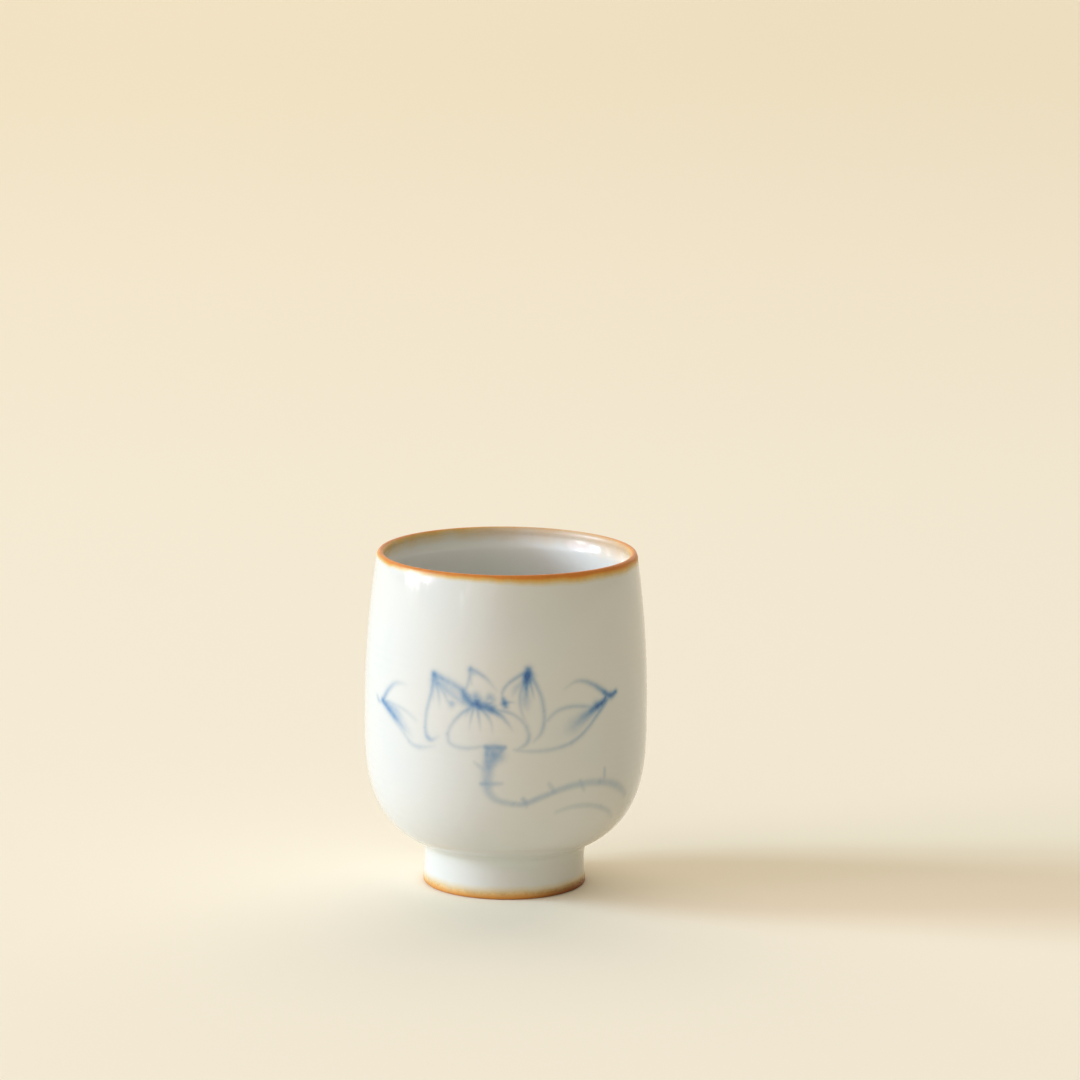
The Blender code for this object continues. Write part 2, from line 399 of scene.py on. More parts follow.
# A closed piece from rows of points that each go once round the cup. A row at the axis becomes one point.
# Without rows at the axis, the last row is joined back to the first. Marks are values kept at each point.
# It is turned right side out if its volume, the sum of a . (b x c) over its triangles, comes out negative.
def closedPiece(name, rows, normals, marks):
    count, columns = rows.shape[:2]
    startPole, endPole = (np.abs(rows[end, :, :2]).max() < 1e-7 for end in (0, -1))
    first = 1 if startPole else 0
    last = count - 1 if endPole else count
    ring = last - first
    vertices = rows[first:last].reshape(-1, 3)
    vertexNormals = normals[first:last].reshape(-1, 3)
    markValues = {mark: values[first:last].reshape(-1) for mark, values in marks.items()}

    index = np.arange(ring * columns).reshape(ring, columns)
    beside = np.roll(index, -1, axis=1)
    low = np.arange(ring - 1 if startPole or endPole else ring)
    high = (low + 1) % ring
    quads = np.stack([index[low], beside[low], beside[high], index[high]], axis=2).reshape(-1, 4)

    column = np.arange(columns)
    u0, u1 = column / columns, (column + 1) / columns
    v0, v1 = (low + 1) / (count + 1), (low + 2) / (count + 1)
    uv = np.empty((len(low), columns, 4, 2))
    uv[..., 0] = np.stack([u0, u1, u1, u0], axis=1)[None]
    uv[..., 1] = np.stack([v0, v0, v1, v1], axis=1)[:, None]

    faces = quads.tolist()
    corners = [uv.reshape(-1, 2)]
    for pole, end, rowV, tipV in ((startPole, 0, 1, 0), (endPole, -1, ring, ring + 1)):
        if pole:
            fan, fanCorners = poleFan(
                len(vertices), index[end], (u0, u1), rowV / (count + 1), tipV / (count + 1), end == 0
            )
            vertices = np.concatenate([vertices, rows[end, :1]])
            vertexNormals = np.concatenate([vertexNormals, normals[end, :1]])
            markValues = {mark: np.append(kept, marks[mark][end, 0]) for mark, kept in markValues.items()}
            faces += fan.tolist()
            corners.append(fanCorners)

    mesh = bpy.data.meshes.new(name)
    mesh.from_pydata(vertices.tolist(), [], faces)
    mesh.update()
    layer = mesh.uv_layers.new(name="OFBake")
    layer.uv.foreach_set("vector", np.concatenate(corners).astype(np.float32).ravel())
    for mark, values in markValues.items():
        mesh.attributes.new(mark, "FLOAT", "POINT").data.foreach_set("value", values.astype(np.float32))
    mesh.polygons.foreach_set("use_smooth", np.ones(len(faces), bool))
    volume = sum(
        np.einsum("ij,ij->i", vertices[f[:, 0]], np.cross(vertices[f[:, 1]], vertices[f[:, 2]])).sum()
        for f in (quads[:, [0, 1, 2]], quads[:, [0, 2, 3]])
    )
    if volume < 0:
        mesh.flip_normals()
    mesh.normals_split_custom_set_from_vertices(vertexNormals)
    piece = bpy.data.objects.new(name, mesh)
    bpy.context.scene.collection.objects.link(piece)
    return piece


# Brushed lotus. Each stroke is a smooth line through (turn, height in mm) points,
# with the brush's half-width in mm and the strength of the cobalt at its start, middle and end.
lotusStrokes = {
    "outer petal, left": [
        ([(-64.2, 48.0), (-62.5, 47.1), (-60.6, 46.9)], (0.48, 0.60, 0.50), (0.20, 0.30, 0.22)),
        ([(-59.0, 47.4), (-56.2, 49.7), (-53.7, 51.1), (-50.9, 52.3), (-47.5, 52.8), (-44.0, 52.7)],
         (0.72, 0.66, 0.52), (0.44, 0.24, 0.04)),
        ([(-59.2, 47.4), (-54.4, 45.9), (-50.8, 44.7), (-47.0, 43.1), (-43.6, 41.6)],
         (0.80, 1.00, 0.70), (0.66, 0.56, 0.10)),
        ([(-55.6, 46.0), (-50.6, 43.6), (-44.7, 41.1), (-41.8, 39.5)],
         (0.46, 0.50, 0.50), (0.16, 0.16, 0.14)),
        ([(-41.8, 39.5), (-39.4, 38.8), (-36.4, 38.6), (-33.0, 38.9), (-29.0, 39.4)],
         (0.55, 0.66, 0.46), (0.14, 0.18, 0.05)),
        ([(-57.8, 47.5), (-52.0, 47.4), (-45.0, 46.7), (-38.6, 45.0)],
         (0.50, 0.56, 0.60), (0.30, 0.15, 0.08)),
        ([(-56.4, 47.0), (-50.0, 45.9), (-45.0, 44.2)], (0.80, 1.30, 1.10), (0.40, 0.28, 0.06)),
        ([(-48.5, 44.6), (-44.4, 42.6), (-41.0, 40.8)], (1.10, 1.40, 1.10), (0.20, 0.15, 0.05)),
    ],
    "upright petal, left": [
        ([(-30.4, 56.6), (-30.5, 53.6), (-31.7, 50.6), (-33.2, 47.2), (-33.8, 43.4)],
         (0.62, 0.56, 0.52), (0.44, 0.24, 0.20)),
        ([(-33.8, 43.4), (-32.9, 41.5), (-30.7, 40.8), (-27.6, 41.7)],
         (0.56, 0.70, 0.48), (0.20, 0.32, 0.06)),
        ([(-29.6, 56.3), (-26.2, 55.5), (-21.8, 54.5), (-18.4, 53.4), (-16.4, 52.2)],
         (0.80, 0.92, 0.84), (0.46, 0.32, 0.36)),
        ([(-29.9, 56.2), (-29.2, 55.2), (-28.6, 53.8)], (0.86, 1.25, 0.95), (0.56, 0.50, 0.26)),
        ([(-30.2, 54.6), (-30.5, 52.4), (-30.1, 49.6)], (0.90, 0.76, 0.56), (0.34, 0.22, 0.03)),
        ([(-28.8, 54.2), (-27.8, 52.0), (-27.1, 48.8)], (0.84, 0.66, 0.52), (0.34, 0.22, 0.03)),
        ([(-28.2, 54.2), (-25.0, 51.9), (-23.2, 49.6)], (0.80, 0.62, 0.50), (0.32, 0.20, 0.05)),
        ([(-27.8, 54.4), (-22.7, 52.3), (-19.4, 51.2), (-17.0, 50.2)],
         (0.80, 1.00, 0.80), (0.28, 0.22, 0.20)),
        ([(-26.6, 54.4), (-22.6, 53.4), (-18.8, 52.2)], (1.00, 1.40, 1.00), (0.24, 0.20, 0.16)),
        ([(-23.6, 50.4), (-21.9, 49.9), (-20.2, 50.1)], (0.66, 1.00, 0.66), (0.14, 0.32, 0.12)),
    ],
    "back petal": [
        ([(-14.4, 58.4), (-14.7, 56.2), (-15.9, 53.8)], (0.62, 0.52, 0.48), (0.32, 0.22, 0.18)),
        ([(-14.3, 58.3), (-10.8, 57.4), (-7.2, 55.9), (-3.7, 53.5)],
         (0.66, 0.54, 0.46), (0.34, 0.25, 0.05)),
        ([(-14.6, 58.0), (-13.2, 57.4), (-11.6, 57.0)], (0.64, 0.86, 0.60), (0.28, 0.22, 0.05)),
        ([(-14.6, 56.6), (-14.0, 55.2), (-13.4, 54.0)], (0.50, 0.46, 0.40), (0.16, 0.12, 0.02)),
    ],
    "upright petal, right": [
        ([(8.9, 58.3), (8.7, 57.3), (8.1, 55.6)], (0.84, 1.28, 1.00), (0.80, 0.96, 0.78)),
        ([(9.4, 57.8), (12.0, 54.9), (14.3, 51.8), (15.4, 48.5)], (0.62, 0.54, 0.54), (0.46, 0.26, 0.22)),
        ([(15.4, 48.5), (15.4, 46.0), (14.1, 43.3), (11.2, 41.5)], (0.54, 0.58, 0.46), (0.22, 0.25, 0.09)),
        ([(8.4, 57.9), (4.4, 56.6), (0.8, 55.1), (-1.3, 53.2), (-1.0, 51.2)],
         (0.62, 0.52, 0.46), (0.42, 0.26, 0.16)),
        ([(8.0, 57.0), (6.0, 53.6), (5.8, 50.0), (7.3, 47.0), (9.8, 44.8)],
         (0.58, 0.50, 0.42), (0.40, 0.18, 0.04)),
        ([(8.1, 57.0), (7.2, 54.8), (6.6, 52.8)], (0.84, 0.66, 0.42), (0.80, 0.46, 0.05)),
        ([(8.5, 57.0), (8.1, 54.2), (8.6, 51.4)], (0.84, 0.62, 0.42), (0.84, 0.66, 0.10)),
        ([(8.9, 57.0), (9.9, 54.9), (11.3, 51.3)], (0.70, 0.52, 0.38), (0.70, 0.40, 0.05)),
        ([(9.3, 57.0), (11.0, 55.5), (12.8, 53.8)], (0.54, 0.44, 0.36), (0.44, 0.26, 0.06)),
        ([(7.8, 53.2), (7.8, 50.6), (9.0, 48.4)], (1.05, 1.35, 1.00), (0.28, 0.20, 0.03)),
        ([(6.4, 55.4), (3.8, 53.8), (2.4, 51.8)], (0.80, 0.90, 0.70), (0.26, 0.20, 0.03)),
    ],
    "stamens": [
        ([(-17.3, 53.1), (-16.4, 51.9), (-15.0, 50.9), (-13.4, 50.2)],
         (0.90, 1.35, 1.00), (0.46, 0.66, 0.58)),
        ([(-13.4, 50.1), (-11.6, 50.2), (-10.2, 49.7)], (0.90, 1.20, 0.92), (0.62, 0.90, 0.74)),
        ([(-10.2, 49.8), (-8.0, 49.6), (-5.4, 49.2)], (1.05, 1.16, 1.05), (0.72, 0.70, 0.64)),
        ([(-5.8, 49.0), (-2.1, 47.8), (0.4, 46.2), (3.0, 44.1)],
         (0.80, 0.54, 0.38), (0.56, 0.30, 0.04)),
        ([(-13.2, 51.6), (-12.0, 51.9), (-10.9, 51.5)], (0.90, 1.15, 0.95), (0.30, 0.42, 0.34)),
        ([(-7.5, 51.4), (-6.3, 51.8), (-5.2, 51.4)], (0.85, 1.05, 0.85), (0.24, 0.34, 0.26)),
        ([(-12.2, 51.2), (-11.4, 50.9), (-10.4, 51.1)], (0.70, 0.80, 0.60), (0.46, 0.52, 0.36)),
        ([(-8.8, 50.6), (-7.2, 50.3), (-5.6, 50.6)], (0.56, 0.66, 0.56), (0.34, 0.42, 0.28)),
        ([(-9.5, 51.6), (-9.2, 50.9), (-9.3, 50.2)], (0.42, 0.44, 0.42), (0.14, 0.22, 0.26)),
        ([(-1.0, 51.6), (-0.5, 50.6), (-0.1, 49.8)], (0.60, 0.90, 0.70), (0.40, 0.72, 0.50)),
        ([(0.3, 50.7), (1.9, 50.8), (3.7, 50.7)], (0.50, 0.42, 0.36), (0.34, 0.20, 0.07)),
    ],
    "front petal": [
        ([(-14.2, 49.1), (-18.4, 47.4), (-22.0, 44.8), (-23.6, 42.6)],
         (0.60, 0.54, 0.56), (0.34, 0.18, 0.16)),
        ([(-23.6, 42.6), (-22.6, 40.6), (-18.6, 39.7), (-13.8, 39.7), (-8.8, 40.3)],
         (0.56, 0.56, 0.50), (0.16, 0.17, 0.14)),
        ([(-4.9, 49.0), (1.3, 48.4), (5.6, 46.9), (8.3, 45.0)], (0.56, 0.50, 0.48), (0.32, 0.18, 0.17)),
        ([(8.3, 45.0), (9.3, 42.9), (8.4, 41.1), (4.8, 39.5)], (0.52, 0.62, 0.50), (0.18, 0.24, 0.14)),
        ([(-12.9, 49.2), (-13.9, 46.6), (-14.5, 43.8)], (0.62, 0.40, 0.34), (0.34, 0.16, 0.01)),
        ([(-11.3, 49.2), (-10.5, 46.4), (-9.8, 43.4)], (0.62, 0.40, 0.34), (0.34, 0.16, 0.01)),
        ([(-9.6, 49.2), (-6.8, 47.2), (-5.5, 45.4), (-5.2, 43.0)], (0.66, 0.42, 0.36), (0.38, 0.16, 0.02)),
        ([(-7.0, 49.0), (-3.8, 47.9), (-1.6, 46.6)], (0.70, 0.60, 0.40), (0.40, 0.22, 0.03)),
        ([(-14.2, 49.2), (-15.6, 48.2), (-16.4, 46.8)], (0.84, 0.90, 0.60), (0.32, 0.22, 0.02)),
    ],
    "outer petal, right": [
        ([(49.9, 50.9), (47.8, 50.4), (45.6, 50.5), (43.4, 51.3)], (0.62, 0.84, 0.66), (0.74, 0.92, 0.72)),
        ([(43.4, 51.3), (40.6, 52.5), (37.0, 53.8), (32.6, 54.8), (28.4, 54.8), (23.4, 53.2)],
         (0.72, 0.60, 0.44), (0.58, 0.32, 0.03)),
        ([(44.1, 50.2), (43.2, 49.4), (41.9, 48.8)], (0.62, 0.80, 0.80), (0.70, 0.86, 0.82)),
        ([(41.9, 49.0), (39.4, 48.4), (36.4, 47.6)], (0.80, 1.05, 0.90), (0.84, 0.94, 0.60)),
        ([(37.4, 47.6), (33.5, 46.4), (30.2, 45.2)], (0.95, 1.35, 1.40), (0.58, 0.42, 0.20)),
        ([(32.0, 46.0), (28.0, 44.4), (23.4, 43.2)], (1.50, 1.90, 1.60), (0.24, 0.20, 0.03)),
        ([(45.0, 49.6), (41.6, 47.6), (38.4, 45.8), (36.0, 44.3), (31.6, 42.1), (27.0, 40.5)],
         (0.60, 0.54, 0.56), (0.48, 0.30, 0.22)),
        ([(27.0, 40.5), (22.0, 39.7), (15.5, 39.2), (8.7, 39.2), (3.6, 39.6)],
         (0.56, 0.54, 0.48), (0.21, 0.18, 0.12)),
        ([(36.4, 48.4), (31.5, 48.9), (26.8, 49.1), (22.4, 48.7), (19.4, 47.8), (16.4, 46.2)],
         (0.60, 0.56, 0.50), (0.24, 0.21, 0.15)),
    ],
}

# The stem is washed in with a fuller, paler brush.
stemStrokes = {
    "calyx": [
        ([(-7.8, 40.1), (-4.2, 40.1), (-0.4, 40.1)], (0.70, 0.80, 0.66), (0.42, 0.42, 0.36)),
        ([(-4.6, 38.3), (-5.5, 37.2), (-6.5, 35.6)], (2.35, 1.90, 1.46), (0.44, 0.38, 0.30)),
        ([(-1.4, 39.6), (-3.2, 38.5), (-4.4, 37.2)], (0.80, 0.78, 0.66), (0.36, 0.32, 0.20)),
        ([(-7.0, 39.6), (-7.3, 38.4), (-7.4, 36.8)], (0.74, 0.74, 0.66), (0.42, 0.38, 0.28)),
    ],
    "stem": [
        ([(-6.6, 36.4), (-7.0, 33.6), (-7.2, 31.2)], (1.50, 1.50, 1.40), (0.28, 0.24, 0.22)),
        ([(-7.2, 31.4), (-6.4, 29.2), (-3.0, 27.4), (3.2, 26.5)], (1.34, 0.98, 0.74), (0.23, 0.19, 0.18)),
        ([(3.2, 26.5), (8.2, 26.5), (14.0, 27.8), (20.0, 29.1)], (0.74, 0.80, 0.80), (0.18, 0.23, 0.21)),
        ([(20.0, 29.1), (27.0, 30.1), (34.0, 30.4), (42.0, 30.1)], (0.82, 0.92, 0.96), (0.21, 0.20, 0.20)),
        ([(42.0, 30.1), (49.0, 29.0), (55.6, 27.2), (60.8, 25.0)], (0.96, 1.06, 0.98), (0.20, 0.20, 0.12)),
    ],
    "thorns": [
        ([(-12.4, 36.5), (-10.4, 35.6), (-8.6, 34.8)], (0.46, 0.60, 0.66), (0.08, 0.15, 0.19)),
        ([(-9.4, 31.3), (-5.2, 31.4), (-1.2, 31.5)], (0.66, 0.76, 0.50), (0.25, 0.26, 0.11)),
        ([(7.4, 27.6), (8.4, 26.8), (8.8, 26.0)], (0.66, 0.90, 0.66), (0.19, 0.26, 0.14)),
        ([(17.8, 31.2), (19.0, 30.2), (20.4, 29.2)], (0.54, 0.70, 0.72), (0.11, 0.15, 0.18)),
        ([(31.6, 31.0), (32.8, 30.0), (34.0, 28.8)], (0.66, 0.78, 0.56), (0.18, 0.21, 0.09)),
        ([(44.0, 33.2), (44.1, 31.6), (44.0, 30.0)], (0.44, 0.56, 0.62), (0.14, 0.16, 0.17)),
    ],
    "second stem": [
        ([(22.0, 24.0), (29.0, 24.9), (37.0, 24.7), (44.6, 23.6)], (0.64, 0.74, 0.74), (0.07, 0.13, 0.14)),
        ([(44.6, 23.6), (51.0, 21.8), (56.0, 19.6)], (0.74, 0.74, 0.58), (0.14, 0.13, 0.04)),
    ],
}

brushForm = {
    "lineEdge": 1.7,  # higher is a crisper edge
    "washEdge": 2.4,
    "mmPerDegree": math.radians(33.2),  # on a wall 33.2 mm from the axis
    "samplesPerSpan": 40,
    "margin": 3,  # half-widths round a stroke past which it leaves nothing
}


# A smooth line through a stroke's points (Catmull-Rom): cubic spans whose slopes are half the
# difference of their neighbours.
def strokeLine(points):
    p = np.array(points, float)
    padded = np.concatenate([[2 * p[0] - p[1]], p, [2 * p[-1] - p[-2]]])
    spans = len(p) - 1
    t = np.linspace(0, spans, spans * brushForm["samplesPerSpan"] + 1)
    span = np.minimum(t.astype(int), spans - 1)
    f = (t - span)[:, None]
    a, b, c, d = (padded[span + k] for k in range(4))
    line = 0.5 * (2 * b + (c - a) * f + (2 * a - 5 * b + 4 * c - d) * f**2 + (3 * b - a - 3 * c + d) * f**3)
    return line, t / spans


# Cobalt left by the brush: strength * exp(-(distance / halfWidth)^edge), where distance is to the
# nearest point of the stroke. Strokes add up as (sum of ink^3)^(1/3), so that they join without dots.
def cobaltInk(turns, heights):
    turnMm = turns * brushForm["mmPerDegree"]
    heightMm = heights * 1000
    total = np.zeros(turnMm.shape)
    lines = [(stroke, brushForm["lineEdge"]) for part in lotusStrokes.values() for stroke in part]
    washes = [(stroke, brushForm["washEdge"]) for part in stemStrokes.values() for stroke in part]
    for (points, widths, strengths), edge in [*lines, *washes]:
        line, share = strokeLine(points)
        line = line * (brushForm["mmPerDegree"], 1.0)
        margin = brushForm["margin"] * max(widths)
        low = line.min(axis=0) - margin
        high = line.max(axis=0) + margin
        near = (turnMm > low[0]) & (turnMm < high[0]) & (heightMm > low[1]) & (heightMm < high[1])
        at = np.column_stack([turnMm[near], heightMm[near]])
        away = np.linalg.norm(at[:, None] - line[None], axis=2)
        closest = away.argmin(axis=1)
        width = np.interp(share[closest], (0, 0.5, 1), widths)
        strength = np.interp(share[closest], (0, 0.5, 1), strengths)
        ink = strength * np.exp(-((away.min(axis=1) / width) ** edge))
        total[near] += ink**3
    return np.minimum(total ** (1 / 3), 1.0)


# Shader values as Python expressions: numbers and sockets combine with + - * / and become Math nodes.
class Value:
    def __init__(self, surface, socket):
        self.surface = surface
        self.socket = socket

    def math(self, operation, *numbers):
        return self.surface.node("ShaderNodeMath", {"operation": operation}, numbers)

    def __add__(self, other):
        return self.math("ADD", self, other)

    def __radd__(self, other):
        return self.math("ADD", other, self)

    def __sub__(self, other):
        return self.math("SUBTRACT", self, other)

    def __rsub__(self, other):
        return self.math("SUBTRACT", other, self)

    def __mul__(self, other):
        return self.math("MULTIPLY", self, other)

    def __rmul__(self, other):
        return self.math("MULTIPLY", other, self)

    def __truediv__(self, other):
        return self.math("DIVIDE", self, other)

    def __rtruediv__(self, other):
        return self.math("DIVIDE", other, self)

    def clamped(self):
        return self.surface.node("ShaderNodeClamp", {}, {"Value": self})


# A node material. node() makes any node from its type, settings and socket values or links.
class Surface:
    def __init__(self, name):
        self.material = bpy.data.materials.new(name)
        self.material.use_nodes = True
        self.tree = self.material.node_tree
        self.shader = self.tree.nodes["Principled BSDF"]
        self.place = self.node("ShaderNodeTexCoord", {}, {}, "Object")

    def node(self, kind, settings, sockets, output=0):
        made = self.tree.nodes.new(kind)
        for key, setting in settings.items():
            if key == "stops":
                ramp = made.color_ramp
                while len(ramp.elements) < len(setting):
                    ramp.elements.new(1.0)
                for element, (position, color) in zip(ramp.elements, setting):
                    element.position = position
                    element.color = (*color, 1.0)
            else:
                setattr(made, key, setting)
        entries = sockets.items() if isinstance(sockets, dict) else enumerate(sockets)
        for key, value in entries:
            self.plug(made.inputs[key], value)
        return Value(self, made.outputs[output])

    def plug(self, socket, value):
        if isinstance(value, Value):
            self.tree.links.new(value.socket, socket)
        elif isinstance(value, (tuple, list)) and socket.type == "RGBA":
            socket.default_value = (*value[:3], 1.0)
        else:
            socket.default_value = value

    def set(self, **sockets):
        for key, value in sockets.items():
            self.plug(self.shader.inputs[key.replace("_", " ")], value)

    # X, Y and Z of the object's own coordinates, in mm.
    def placeMm(self):
        return [self.node("ShaderNodeSeparateXYZ", {}, [self.place], axis) * 1000.0 for axis in "XYZ"]

    def mark(self, name):
        return self.node("ShaderNodeAttribute", {"attribute_name": name}, {}, "Fac")

    def ramp(self, stops, share):
        return self.node("ShaderNodeValToRGB", {"stops": stops}, {"Fac": share})

    def mix(self, factor, a, b, blend="MIX"):
        settings = {"data_type": "RGBA", "blend_type": blend, "clamp_factor": True}
        return self.node("ShaderNodeMix", settings, {0: factor, 6: a, 7: b}, 2)

    def tinted(self, color, tint, factor=1.0):
        return self.mix(factor, color, tint, "MULTIPLY")

    def noise(self, scale, detail=2.0, offset=0.0, stretch=(1.0, 1.0, 1.0)):
        moved = {"Vector": self.place, "Location": (offset,) * 3, "Scale": stretch}
        place = self.node("ShaderNodeMapping", {}, moved)
        return self.node("ShaderNodeTexNoise", {}, {"Vector": place, "Scale": scale, "Detail": detail})

    def cells(self, scale):
        return self.node("ShaderNodeTexVoronoi", {}, {"Vector": self.place, "Scale": scale})

    # Goes smoothly from fromValue to toValue as the value goes from low to high.
    def step(self, value, low, high, fromValue=0.0, toValue=1.0):
        sockets = {"Value": value, "From Min": low, "From Max": high, "To Min": fromValue, "To Max": toValue}
        return self.node("ShaderNodeMapRange", {"interpolation_type": "SMOOTHSTEP"}, sockets)


# Noises in the glaze: how many grains to the metre, how much detail, and where the noise is moved to.
grains = {
    "broad": (38.0, 3.0),
    "patch": (140.0, 3.0, 0.31),
    "clusters": (170.0, 1.0, 0.77),
    "drips": (260.0, 2.0, 0.12, (1.0, 1.0, 0.22)),  # drawn out downwards
    "mottle": (420.0, 3.0),
    "fine": (900.0, 3.0),
    "grain": (3800.0, 2.0),
}

# Each range is where something begins and ends, in mm, and where four numbers stand, from what to what.
glazeLook = {
    "white": (0.640, 0.655, 0.640),
    "thin": (0.660, 0.660, 0.628),  # where the glaze runs thin the warmer body shows
    "pooled": (0.650, 0.680, 0.640),  # where it gathers it is deeper and greener
    "poolBegins": (6.6, 9.0),  # heights
    "poolEnds": (9.6, 12.5, 1.0, 0.0),
    # Inside, the glaze is painted lighter and cooler as painted light, and darker further down as painted
    # shade.
    "inside": (0.815, 0.835, 0.830),
    "insideBegins": (1.0, 5.0),  # below the lip
    "shadedInside": (0.700, 0.722, 0.716),
    "shadeDeepens": (3.5, 12.0),
    "warmInside": (0.800, 0.790, 0.735),
    "warms": (10.0, 27.0, 0.0, 0.8),  # from the middle to the right
    "roughness": 0.10,
    "roughLip": (1.0, 2.4, 0.16, 0.0),
    "pinholes": 240.0,  # to the metre
    "reliefDepth": 0.00016,
}

# The iron wash tints the glaze under it. Stops run from where it is strongest to where it ends.
ironLook = {
    "lip": [
        (0.00, (0.930, 0.290, 0.030)),
        (0.26, (0.950, 0.320, 0.035)),
        (0.40, (1.000, 0.520, 0.100)),
        (0.56, (1.000, 0.680, 0.260)),
        (0.76, (1.000, 0.880, 0.660)),
        (1.00, (1.000, 1.000, 1.000)),
    ],
    "farLip": [
        (0.00, (0.930, 0.290, 0.030)),
        (0.26, (0.950, 0.360, 0.080)),
        (0.44, (0.980, 0.560, 0.260)),
        (0.62, (0.990, 0.720, 0.480)),
        (0.80, (1.000, 0.870, 0.750)),
        (1.00, (1.000, 1.000, 1.000)),
    ],
    "foot": [
        (0.00, (0.850, 0.330, 0.050)),
        (0.20, (0.960, 0.430, 0.085)),
        (0.34, (1.000, 0.580, 0.190)),
        (0.50, (1.000, 0.740, 0.400)),
        (0.70, (1.000, 0.880, 0.680)),
        (1.00, (1.000, 1.000, 1.000)),
    ],
    "lipMm": 2.7,  # how far it runs down outside
    "lipAcross": (-24.0, 20.0, 0.58, 1.10),  # less on the left, more on the right
    "insideMm": 5.6,
    "insideAcross": (-26.0, 26.0, 1.20, 2.30),
    "insideFrom": 0.42,  # inside it is thin from the start
    "footMm": 3.3,
    "wander": 0.16,  # how far its edges wander, in mm
    "wanderDrips": 0.14,
    "thinBehind": (4.0, 27.0),  # towards the back it is thinner, most so on the right
    "thinAcross": (-26.0, 12.0, 0.22, 0.46),
    "thinCrest": (0.2, 1.4, 1.0, 0.2),
    "thinInside": 0.45,
    "farBehind": (-6.0, 14.0),  # where the paler far ramp takes over
    "farAcross": (-18.0, 6.0),
    "shadeAndDarkFiring": (0.42, 0.28, 0.12),  # painted shade on the foot's shaded right side, where the wash also fired darker
    "darkAcross": (3.0, 17.0),
    "specks": (0.30, 0.14, 0.05),
    "specksPerMetre": 430.0,
    "roughness": 0.26,
    "bareFoot": (0.5, 1.1, 1.0, 0.0),  # the very edge has no glaze
    "bareRoughness": 0.35,
}

cobaltStops = [
    (0.00, (1.000, 1.000, 1.000)),
    (0.10, (0.855, 0.890, 0.923)),
    (0.25, (0.630, 0.732, 0.868)),
    (0.55, (0.275, 0.462, 0.735)),
    (1.00, (0.053, 0.184, 0.535)),
]


# White glaze: white to thin by the broad noise, to pooled by the patches and in the cove.
# Inside: a lighter, cooler copy of the glaze as painted light, darker further down as painted shade, and
# warmer on the right.
def glazeColor(s, noises, xMm, heightMm, belowMm, insideShare):
    white = s.mix(s.step(noises["broad"], 0.35, 0.65), glazeLook["white"], glazeLook["thin"])
    white = s.mix(s.step(noises["patch"], 0.3, 0.8) * 0.25, white, glazeLook["pooled"])
    pool = s.step(heightMm, *glazeLook["poolBegins"]) * s.step(heightMm, *glazeLook["poolEnds"])
    white = s.mix(pool * s.step(noises["patch"], 0.2, 0.75, 0.35, 0.9), white, glazeLook["pooled"])
    # Painted shade: the inside glaze turns darker further down the wall.
    within = s.mix(s.step(belowMm, *glazeLook["shadeDeepens"]), glazeLook["inside"], glazeLook["shadedInside"])
    within = s.mix(s.step(xMm, *glazeLook["warms"]), within, glazeLook["warmInside"])
    return s.mix(insideShare * s.step(belowMm, *glazeLook["insideBegins"]), white, within)


# Cobalt: the ink kept at each point, times two noises near 1, read off the cobalt's ramp.
def cobaltTint(s, noises):
    uneven = [s.step(noises[name], 0.25, 0.75, 0.92, 1.07) for name in ("fine", "mottle")]
    return s.ramp(cobaltStops, (s.mark("cobalt") * uneven[0] * uneven[1]).clamped())


# How far the iron wash has run out: 0 on the edge, 1 where it ends. Share = distance / reach.
# At the lip the distance is the depth below it, and a share is added where the wash is thinner.
def ironShares(s, noises, xMm, yMm, heightMm, belowMm, insideShare):
    spread, drips = ironLook["wander"], ironLook["wanderDrips"]
    wander = s.step(noises["patch"], 0.2, 0.8, -spread, spread)
    wander = wander + s.step(noises["drips"], 0.2, 0.8, -drips, drips)
    outside = (belowMm + wander) / (ironLook["lipMm"] * s.step(xMm, *ironLook["lipAcross"]))
    within = belowMm / (ironLook["insideMm"] * s.step(xMm, *ironLook["insideAcross"]))
    within = within + wander * 0.3 + ironLook["insideFrom"]
    thinner = s.step(yMm, *ironLook["thinBehind"]) * s.step(xMm, *ironLook["thinAcross"])
    crest = s.step(belowMm, *ironLook["thinCrest"]) * (1 - insideShare)
    lip = outside + insideShare * (within - outside)
    lip = lip + thinner * (crest + ironLook["thinInside"] * insideShare)
    return lip, (heightMm + wander) / ironLook["footMm"]
